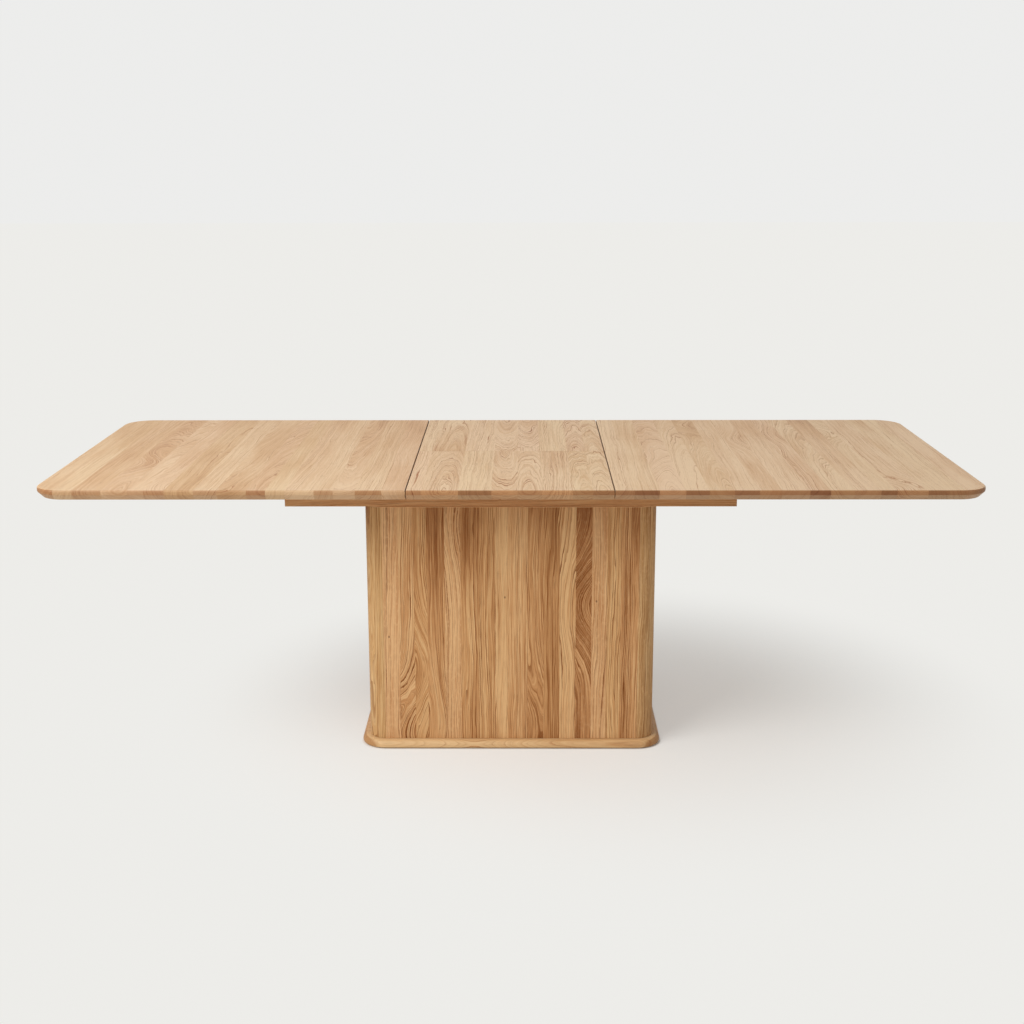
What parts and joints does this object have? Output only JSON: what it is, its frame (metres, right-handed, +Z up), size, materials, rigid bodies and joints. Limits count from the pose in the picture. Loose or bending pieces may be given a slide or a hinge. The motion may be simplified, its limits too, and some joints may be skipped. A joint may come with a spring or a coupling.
{
  "type": "extending dining table",
  "caption": "Oak dining table on a rounded box pedestal with plinth; its top parts on runners and holds a folding leaf between the sliding halves.",
  "frame": {"origin": "centre of the table on the floor, under the floor glides", "axes": "+X along the table, +Y towards the rear long side, +Z up"},
  "size_m": [2.4, 1, 0.75],
  "materials": {
    "oak": "oiled, satin",
    "inner_wood": "plain, unfinished",
    "runner_steel": "dark zinc and powder coat",
    "zinc_screws": "zinc plated",
    "brass": "plain brass",
    "nylon": "moulded, matt"
  },
  "bodies": {
    "base": {"bracket_screws": "zinc_screws", "channel_screws": "zinc_screws", "column_bottom_board": "inner_wood", "column_front_panel": "oak", "column_left_panel": "oak", "column_rear_panel": "oak", "column_right_panel": "oak", "column_splines": "inner_wood", "column_top_board": "inner_wood", "corner_post_front_left": "oak", "corner_post_front_right": "oak", "corner_post_rear_left": "oak", "corner_post_rear_right": "oak", "floor_glides": "nylon", "frame_brackets": "runner_steel", "frame_dowels": "inner_wood", "front_channel": "runner_steel", "front_rail": "oak", "left_cross_rail": "oak", "left_end_rail": "oak", "plinth": "oak", "plinth_screws": "zinc_screws", "rear_channel": "runner_steel", "rear_rail": "oak", "right_cross_rail": "oak", "right_end_rail": "oak"},
    "leaf_front_half": {"front_leaf_board": "oak", "front_leaf_hinges": "brass", "front_leaf_pegs": "oak"},
    "left_half": {"left_batten_screws": "zinc_screws", "left_cleat_screws": "zinc_screws", "left_front_batten": "runner_steel", "left_front_cleat": "oak", "left_front_runner": "runner_steel", "left_rear_batten": "runner_steel", "left_rear_cleat": "oak", "left_rear_runner": "runner_steel", "left_runner_screws": "zinc_screws", "left_stop_pegs": "oak", "left_top_board": "oak"},
    "leaf_rear_half": {"rear_leaf_board": "oak", "rear_leaf_hinges": "brass", "rear_leaf_pegs": "oak"},
    "right_half": {"right_batten_screws": "zinc_screws", "right_cleat_screws": "zinc_screws", "right_front_batten": "runner_steel", "right_front_cleat": "oak", "right_front_runner": "runner_steel", "right_rear_batten": "runner_steel", "right_rear_cleat": "oak", "right_rear_runner": "runner_steel", "right_runner_screws": "zinc_screws", "right_stop_pegs": "oak", "right_top_board": "oak"}
  },
  "joints": [
    {"name": "left_slide", "type": "slide", "parent": "base", "child": "left_half", "axis": [-1, 0, 0], "range_m": [0, 0.04]},
    {"name": "right_slide", "type": "slide", "parent": "base", "child": "right_half", "axis": [1, 0, 0], "range_m": [0, 0.04]},
    {"name": "leaf_lift", "type": "slide", "parent": "base", "child": "leaf_rear_half", "axis": [0, 0, 1], "range_m": [0, 0.25]},
    {"name": "leaf_fold", "type": "hinge", "parent": "leaf_rear_half", "child": "leaf_front_half", "pos_m": [0, 0, 0.7503], "axis": [-1, 0, 0], "range_deg": [0, 180]}
  ]
}
